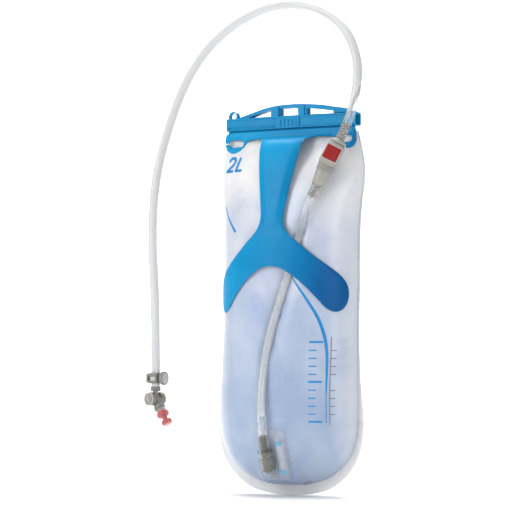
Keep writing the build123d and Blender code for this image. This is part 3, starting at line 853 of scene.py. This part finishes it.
def bar_rows(x0, x1, z0, z1):
    """A rectangle of (x, z) rows, cut small enough to follow the film."""
    wide, high = max(1, round((x1 - x0) / 0.9)), max(1, round((z1 - z0) / 0.9))
    return [[(x0 + (x1 - x0) * i / wide, z0 + (z1 - z0) * j / high) for i in range(wide + 1)]
            for j in range(high + 1)]


def stroke_rows(points, width_at):
    """A strip of changing width along a smooth line of (x, z)."""
    line = smooth_line(points, 12)
    rows = [[], [], [], []]
    for i, p in enumerate(line):
        along = (line[min(i + 1, len(line) - 1)] - line[max(i - 1, 0)]).normalized()
        off = Vector((-along.y, along.x)) * width_at(i / (len(line) - 1)) / 2
        for row, share in zip(rows, (1, 0.33, -0.33, -1)):
            row.append(tuple(p + off * share))
    return rows


GAUGE_FOOT = 76
GAUGE_STEP = 8
GAUGE_MARKS = 11
NUMBER_STROKE = 3.2


def make_prints(bag, m):
    """A plain fill gauge, a capacity number and a thin curved stripe."""
    blue, grey = [], []
    for i in range(GAUGE_MARKS):
        z = GAUGE_FOOT + GAUGE_STEP * i
        if i % 5 == 0:
            blue.append(bar_rows(41, 54, z, z + 2.0))
        else:
            blue.append(bar_rows(41, 48.5, z, z + 1.2))
            grey.append(bar_rows(60.5, 65.5, z, z + 1.0))
    grey.append(bar_rows(60.5, 61.4, 74, 162))
    blue.append(stroke_rows([(20, 224), (36, 202), (50, 178), (57.2, 150), (58, 110), (58, 76)],
                            lambda t: 0.8 + 2.2 * max(0.0, math.sin(math.pi * min(1, t * 1.2))) ** 0.7))
    blue.append(stroke_rows([(-67, 298), (-59, 284), (-47.5, 270)], lambda t: 0.8 + 2.0 * t))
    number = [
        stroke_rows([(-69.8, 345.0), (-67.6, 348.4), (-63.4, 348.8), (-61.0, 345.8), (-62.8, 341.3),
                     (-67.2, 337.4), (-70.4, 334.9)], lambda t: NUMBER_STROKE),
        bar_rows(-71.4, -60.8, 333.4, 336.2),
        stroke_rows([(-56.8, 334.2), (-55.6, 341.8), (-54.4, 349.2)], lambda t: NUMBER_STROKE),
        bar_rows(-58.3, -48.4, 333.4, 336.2),
    ]
    ink = [print_on("gauge_print", bag, blue + number, m["print_blue"]),
           print_on("gauge_print_grey", bag, grey, m["print_grey"])]
    for piece in ink:
        give(piece, "reservoir", "blue_plastic")


# ---------------------------------------------------------------- backer plate

# height, half width and depth of the inner face, from the weld plane
PLATE = [
    (374, 150, 6.0), (369, 140, 8.0), (365.5, 128, 19.5), (358, 110, 27.0), (348, 95, 31.5),
    (335, 88, 35.5), (318, 83, 39.8), (295, 79, 44), (262, 78, 49.6), (225, 77, 50.4),
    (185, 76.8, 50.2), (160, 76.6, 49.2),
]
PLATE_T = 2.0
BAR_Y = -6.0
PLATE_HALF = [
    (0, 376.3), (30, 376.3), (58, 376.2), (70, 376.0), (75.3, 373.2), (76.4, 367), (76.0, 360.5),
    (72.5, 355.9), (66.5, 354.2), (59.5, 355.2), (54.5, 359.2), (51.8, 363.8), (48.5, 366.8),
    (42.0, 367.6), (34.0, 367.6), (28.6, 367.0), (25.6, 364.6), (24.0, 360), (23.2, 352),
    (21.6, 340), (18.6, 322), (15.6, 303), (13.4, 288), (13.4, 277.5), (17.8, 268.5), (27, 260),
    (39.5, 249), (52, 238.5), (64, 228), (70.2, 219.2), (72.6, 209.5), (72.2, 198.5),
    (69.0, 190.0), (63.0, 187.4), (56.0, 191.4), (48.5, 200.5), (39.5, 210.5), (29.5, 220.0),
    (18, 228.4), (8.5, 232.6), (0, 233.8),
]
HANG_X, HANG_Z, SLOT_R, SLOT_LENGTH = 63.0, 364.5, 3.8, 17.0
GRID_STEP = 1.7
GRID_LEFT, GRID_WIDTH = -80, 160
GRID_FOOT, GRID_HEIGHT = 185, 195
GRID_RIM = 0.75


def plate_depth(x, z):
    """Depth of the plate's inner face in front of the weld plane."""
    half, depth = table_at(PLATE, z, 1), table_at(PLATE, z, 2)
    curved = depth * math.sqrt(max(0.0, 1 - (x / half) ** 2))
    flat = smooth_step((abs(x) - 25.5) / 4) if z > 352 else 0.0
    flat = max(flat, smooth_step((z - 367.2) / 2.2))
    return curved + (-BAR_Y - curved) * flat


def outline_distance(point, loops):
    """Distance from a point to the nearest of several closed loops of 2-D points."""
    best = 1e9
    for loop in loops:
        for a, b in zip(loop, loop[1:] + loop[:1]):
            ab = b - a
            t = max(0.0, min(1.0, (point - a).dot(ab) / max(ab.length_squared, 1e-12)))
            best = min(best, (a + ab * t - point).length_squared)
    return math.sqrt(best)


def inside(point, loop):
    hit = False
    for a, b in zip(loop, loop[1:] + loop[:1]):
        if (a.y > point.y) != (b.y > point.y):
            if point.x < (b.x - a.x) * (point.y - a.y) / (b.y - a.y) + a.x:
                hit = not hit
    return hit


def slot_loop(way):
    straight = SLOT_LENGTH / 2 - SLOT_R
    loop = []
    for end in (1, -1):
        for i in range(9):
            turn = -math.pi / 2 + math.pi * i / 8
            dx, dz = math.cos(turn) * SLOT_R * end, math.sin(turn) * SLOT_R * end
            loop.append(Vector((way * HANG_X + end * straight + dx, HANG_Z + dz)))
    return loop


def on_plate(point, loops):
    """Whether a point lies within the first loop and outside the slots."""
    return inside(point, loops[0]) and not any(inside(point, slot) for slot in loops[1:])


def plate_relief(z, edge):
    """How far the front face stands out: a rolled edge, and broad chamfers down the stem."""
    roll = 1.1
    height = PLATE_T
    if edge < roll:
        height -= roll - math.sqrt(max(0.0, roll * roll - (roll - edge) ** 2))
    stem = smooth_step((z - 268) / 22) * smooth_step((367 - z) / 4)
    return height - 0.7 * stem + 2.4 * stem * smooth_step(edge / 8.0)


def make_plate(m):
    """One moulded plate: crossbar, two slotted tabs, stem and arms, over a fine triangle net."""
    half = [Vector(p) for p in smooth_line(PLATE_HALF, 4)]
    outline = half + [Vector((-p.x, p.y)) for p in reversed(half[1:-1])]
    loops = [outline, slot_loop(1), slot_loop(-1)]
    points, edges = [], []
    for loop in loops:
        base = len(points)
        points += loop
        edges += [(base + i, base + (i + 1) % len(loop)) for i in range(len(loop))]
    for i in range(int(GRID_WIDTH / GRID_STEP) + 1):
        for j in range(int(GRID_HEIGHT / GRID_STEP) + 1):
            shift = 0.5 * GRID_STEP if j % 2 else 0
            p = Vector((GRID_LEFT + i * GRID_STEP + shift, GRID_FOOT + j * GRID_STEP))
            if on_plate(p, loops) and outline_distance(p, loops) > GRID_RIM:
                points.append(p)
    flat = delaunay_2d_cdt(points, edges, [], 0, 1e-5)
    net, triangles = flat[0], flat[2]
    kept = []
    for t in triangles:
        middle = (net[t[0]] + net[t[1]] + net[t[2]]) / 3
        if on_plate(middle, loops):
            kept.append(tuple(t))
    front, rear = [], []
    for p in net:
        x, z = p
        edge = outline_distance(p, loops)
        deep = plate_depth(x, z)
        front.append(at(x, -deep - plate_relief(z, edge), z))
        rear.append(at(x, -deep, z))
    count = len(net)
    faces = kept + [tuple(count + k for k in reversed(t)) for t in kept]
    sides = dict.fromkeys(
        side for t in kept for side in ((t[0], t[1]), (t[1], t[2]), (t[2], t[0])))
    for a, b in sides:
        if (b, a) not in sides:
            faces.append((b, a, count + a, count + b))
    plate = mesh_object("backer_plate_moulding", front + rear, faces, m["plate"])
    return soften(tidy_normals(plate), 50)


TEETH = 27


def make_closure_trim(m):
    """The plate's top ledge under the slider, and the fine teeth along the slider's lower left edge."""
    place = Matrix.Translation(at(0, 0, 0))
    ledge = rounded_box("plate_top_ledge", (147, 4.0, 3.4), (0, -3.6, 375.6), place, m["plate"], 0.5)
    give(ledge, "reservoir", "blue_plastic")
    teeth = []
    for i in range(TEETH):
        centre = (-72 + 2.0 * i, -8.1, 380.4)
        teeth.append(rounded_box("slider_tooth", (1.0, 0.8, 2.4), centre, place, m["blue"], 0.2, 2))
    lip = rounded_box("slider_lip", (146, 1.6, 1.8), (0, -7.3, 378.6), place, m["blue"], 0.5)
    crest = rounded_box("slider_crest", (144, 1.4, 1.6), (0, -7.2, 389.4), place, m["blue"], 0.5)
    give(join("slider_trim", [lip, crest, *teeth]), "slider", "blue_plastic")


# ---------------------------------------------------------------- fittings


def frame_matrix(origin, x_dir, y_dir, z_dir):
    """A place from its origin in the bag's millimetres and its three directions."""
    place = Matrix((x_dir, y_dir, z_dir)).transposed().to_4x4()
    place.translation = at(*origin)
    return place


PORT = frame_matrix((-2.0, -35.8, 45.0), (1, 0, 0), (0, 0.94552, 0.32557), (0, -0.32557, 0.94552))
COUPLING = frame_matrix((42.2, -42.0, 302.7), (0.816549, 0.36291, -0.448937),
                        (-0.43227, 0.899822, -0.058838), (0.38261, 0.242107, 0.891624))
VALVE = frame_matrix((-166.0, 0.0, 97.0), (0.970296, -0.241922, 0), (0.241922, 0.970296, 0), (0, 0, 1))
PORT_CORE = PORT @ Matrix.Translation((-6.4 * MM, -7.9 * MM, 0))
OUTLET = VALVE @ Matrix.Rotation(math.radians(-35), 4, "Y") @ Matrix.Rotation(math.pi, 4, "X")
# The ribs are wider than the hose's bore, so that they show through its wall.
RIB_R = 4.1
NECK_R = 2.4


def barb_profile(low, high, ribs):
    """Saw-tooth ribs of a hose barb, which grip the bore of the hose."""
    pitch = (high - low) / ribs
    points = [(NECK_R, low)]
    for i in range(ribs):
        z = low + pitch * i
        points += [(NECK_R, z + 0.25 * pitch), (RIB_R, z + 0.35 * pitch), (RIB_R, z + 0.5 * pitch),
                   (NECK_R + 0.25, z + 0.98 * pitch)]
    return points + [(NECK_R, high), (1.7, high), (1.7, high - 2)]


def make_coupling(m):
    rings = []
    for s in (29.2, 31.6, 34.0):
        grow = (s - 29) * 0.12
        rings += [(s, 7.1 + grow, 6.9, 2.2), (s + 0.15, 8.35 + grow, 8.0, 2.3),
                  (s + 1.3, 8.45 + grow, 8.05, 2.4), (s + 1.45, 7.1 + grow, 6.9, 2.3)]
    body = loft_object("coupling_socket", [
        (13.6, 2.6, 2.6, 2), (13.7, 5.0, 5.0, 2), (14.3, 5.6, 5.6, 2), (22, 6.6, 6.6, 2), (29, 7.6, 7.5, 2.1),
        *rings, (36.2, 8.6, 8.1, 3.2), (37.0, 9.3, 8.4, 4), (58.6, 9.3, 8.4, 4), (59.6, 8.8, 7.9, 3.4),
        (60, 8.0, 7.2, 2.8), (60, 5.2, 5.2, 2), (59.5, 5.06, 5.06, 2), (31, 5.06, 5.06, 2),
    ], COUPLING, m["grey"], 72)
    lower = lathe("socket_barb", barb_profile(14.2, 0.8, 5), COUPLING, m["deep"])
    socket = join("coupling_socket_body", [body, lower])
    give(socket, "reservoir", "grey_plastic", "socket_body")
    profile = rounded_profile([
        (1.7, 38), (4.5, 38), (5.0, 38.6), (5.0, 60.2), (8.0, 60.3), (8.7, 61.0), (8.7, 62.9), (8.0, 63.6),
        (6.4, 64.4), (4.6, 65.6), (3.0, 66.1),
    ], 0.25)
    plug = lathe("coupling_plug", profile + [(2.4, 66.1), (1.7, 66.1)], COUPLING, m["grey"], 64)
    barb = lathe("plug_barb", barb_profile(66.0, 84.0, 7), COUPLING, m["deep"])
    plug = join("coupling_plug_body", [plug, barb])
    give(plug, "drinking_hose", "grey_plastic", "plug_body")
    return plug


def make_port(m):
    """A grey ribbed core in a clear tapered housing."""
    profile = [(2.0, -17.4), (4.8, -17.4), (5.6, -16.6)]
    for i in range(6):
        z = -16.2 + 3.3 * i
        profile += [(5.9, z), (5.9, z + 1.9), (4.7, z + 2.0), (4.7, z + 3.1)]
    profile += [(5.0, 3.9), (4.2, 4.6), (3.0, 5.0)]
    core = lathe("port_core", profile + barb_profile(5.1, 21.0, 7), PORT_CORE, m["core"])
    give(core, "reservoir", "grey_plastic", "port_barb")
    outer = [
        (-24.6, 2.6, 2.4, 2), (-24.2, 4.4, 4.2, 2), (-23.0, 5.9, 5.8, 2.1), (-20.5, 6.8, 6.8, 2.2),
        (-14, 7.4, 7.4, 2.2), (0, 7.9, 7.9, 2.2), (4.2, 8.1, 8.1, 2.2), (4.9, 7.9, 7.9, 2.2),
    ]
    inner = [(4.9, 6.3, 6.3, 2), (-18.4, 6.1, 6.1, 2), (-19.4, 5.0, 5.0, 2)]
    housing = loft_object("port_shell", outer + inner, PORT_CORE, m["housing"], 56)
    foot = rounded_box("port_foot", (13.2, 2.6, 26), (-6.4, -2.6, -9), PORT, m["housing"], 0.8)
    give(join("port_housing_shell", [housing, foot]), "reservoir", "clear_plastic", "port_housing")


def make_valve(m):
    """The hose fitting, the ringed end cap, the clear mouthpiece and the red valve inside it."""
    fitting = lathe("hose_fitting", rounded_profile([
        (3.2, 8.3), (5.2, 8.3), (5.6, 8.8), (5.6, 10.0), (5.1, 10.3), (5.1, 10.8), (5.6, 11.1), (5.6, 12.5),
        (5.1, 12.95), (2.4, 12.95),
    ], 0.2) + barb_profile(13.0, 26.0, 4), VALVE, m["deep"])
    give(fitting, "drinking_hose", "grey_plastic", "valve_fitting")
    facing = VALVE @ Matrix.Translation((0, -8.6 * MM, 0)) @ Matrix.Rotation(math.radians(90), 4, "X")
    cap = lathe("valve_end_cap", [
        (0.2, 0.05), (6.7, 0.05), (7.0, 0.4), (7.0, 1.9), (6.6, 2.3), (5.9, 2.3), (5.7, 1.5), (4.7, 1.5),
        (4.5, 2.4), (3.7, 2.4), (3.5, 1.5), (2.4, 1.5), (2.2, 2.7), (0.2, 3.0),
    ], facing, m["grey_light"])
    give(cap, "valve_outlet", "pale_plastic", "barrel_end_cap")
    lips = lathe("mouthpiece_shell", [
        (5.3, 12.6), (6.6, 12.7), (7.2, 13.3), (8.0, 16.5), (8.3, 20), (7.7, 24), (7.8, 27.5), (7.9, 30),
        (7.3, 32.8), (6.0, 34.6), (3.6, 35.4), (0.4, 35.5), (0.4, 34.3), (3.4, 34.2), (5.3, 33.2), (6.5, 30),
        (6.5, 27), (6.4, 24), (7.0, 19.7), (5.6, 13),
    ], OUTLET, m["silicone"])
    give(lips, "valve_outlet", "clear_silicone", "mouthpiece")
    red = lathe("mouthpiece_slit_valve", rounded_profile([
        (0.3, 16.8), (5.6, 16.9), (6.6, 18.0), (6.6, 20.6), (5.4, 22.0), (3.0, 23.0), (2.6, 25.6),
        (3.6, 26.8), (5.6, 27.8), (5.9, 29.8), (5.0, 31.6), (0.3, 32.0),
    ], 0.3), OUTLET, m["red_clear"])
    give(red, "valve_outlet", "red_silicone", "mouthpiece_valve")
    return fitting, lips


def make_clip(m):
    """The magnet clip: a block round the hose with a window, an arm and a round magnet cup."""
    place = frame_matrix((-166.0, 0.0, 119.0), (1, 0, 0), (0, 1, 0), (0, 0, 1))
    grey = m["deep"]
    block = loft_object("clip_block", [
        (-5.6, 5.6, 5.4, 3.0), (-5.2, 6.6, 6.4, 3.4), (5.2, 6.6, 6.4, 3.4), (5.6, 5.6, 5.4, 3.0),
    ], place @ Matrix.Translation((-1.1 * MM, -0.4 * MM, 0)), grey)
    frame_bars = []
    for size, centre in (((12.6, 1.4, 2.2), (-1.1, -6.9, 3.6)), ((12.6, 1.4, 2.2), (-1.1, -6.9, -3.6)),
                         ((2.0, 1.4, 9.0), (-6.6, -6.7, 0)), ((2.0, 1.4, 9.0), (4.4, -6.7, 0))):
        frame_bars.append(rounded_box("clip_bar", size, centre, place, grey, 0.5))
    arm = rounded_box("clip_arm", (6.0, 6.0, 8.0), (7.0, 0, 0), place, grey, 1.0)
    across = place @ Matrix.Rotation(math.radians(90), 4, "Y")
    cup = lathe("clip_cup", rounded_profile([
        (0.2, 6.6), (4.5, 6.6), (7.3, 8.4), (7.3, 12.1), (6.3, 12.2), (6.2, 11.6), (0.2, 11.6),
    ], 0.5), across, grey)
    clip = join("magnet_clip_moulding", [block, arm, cup, *frame_bars])
    give(clip, "hose_clip", "grey_plastic", "magnet_clip")
    # The window is a dark sheet of painted shade, and the pale bar in it is the lit hose behind it, a painted
    # highlight.
    window = rounded_box("clip_window", (9.4, 0.6, 5.4), (-1.1, -6.7, 0), place, m["dark"], 0.2)
    give(window, "hose_clip", "grey_plastic")
    glint = rounded_box("clip_window_hose_highlight", (5.6, 0.4, 4.2), (0.4, -7.0, -0.3), place, m["pale"], 0.15)
    give(glint, "hose_clip", "grey_plastic")
    disc = lathe("clip_magnet", rounded_profile([(0.2, 11.5), (5.9, 11.5), (6.0, 12.05), (0.2, 12.05)], 0.15),
                 across, m["steel"])
    give(disc, "hose_clip", "magnet_steel", "magnet")
    return clip


def make_tether_loop(m):
    """The strap's end, looped through the left hang slot and round its outer rim."""
    points = []
    for i in range(37):
        turn = 2 * math.pi * i / 36
        c, s = math.cos(turn), math.sin(turn)
        x = -73.75 + 3.55 * math.copysign(abs(c) ** 0.6, c)
        y = -7.25 + 2.1 * math.copysign(abs(s) ** 0.6, s)
        points.append(at(x, y, HANG_Z + 0.4 * s))
    loop = tube_object("tether_end_loop", points, 0.75, 0, m["strap"], 14)
    return give(loop, "reservoir", "clear_strap", "tether_loop")


# ---------------------------------------------------------------- main

m = make_materials()
make_camera()
make_floor()
make_lights()
(lower_hose, lower_line), (drinking_hose, upper_line), (tether, tether_line) = make_hoses(m)

bag = make_belly(m)
blow_up(bag)
shape_front(bag, lower_line)
give(bag, "reservoir", "clear_film", "front_film", "back_film")
give(make_flange(m), "reservoir", "clear_film")
give(make_fold(m), "reservoir", "clear_film", "folded_mouth")
make_prints(bag, m)
plate = make_plate(m)
give(plate, "reservoir", "blue_plastic", "backer_plate")
make_closure_trim(m)
make_port(m)
plug = make_coupling(m)
fitting, lips = make_valve(m)
clip = make_clip(m)
make_tether_loop(m)

SLOT_MATERIALS = {
    "grey_plastic": "grey", "blue_plastic": "blue", "red_plastic": "red", "pale_plastic": "pale",
    "black_rubber": "black", "spring_steel": "steel", "magnet_steel": "steel", "clear_plastic": "clear",
    "clear_silicone": "silicone", "red_silicone": "red_clear", "clear_film": "flange",
    "clear_strap": "strap", "clear_hose": "hose",
}
# The valve barrel takes the darker copy of the grey plastic, which is painted shade.
NODE_MATERIALS = {"port_clip_pads": "pad", "valve_barrel": "deep", "valve_lever": "clear"}
for part in frame["record"]["subparts"]:
    chosen = NODE_MATERIALS.get(part["node"], SLOT_MATERIALS[part["material_slot"]])
    for material_slot in frame["nodes"][part["node"]].material_slots:
        material_slot.material = m[chosen]

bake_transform(tether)
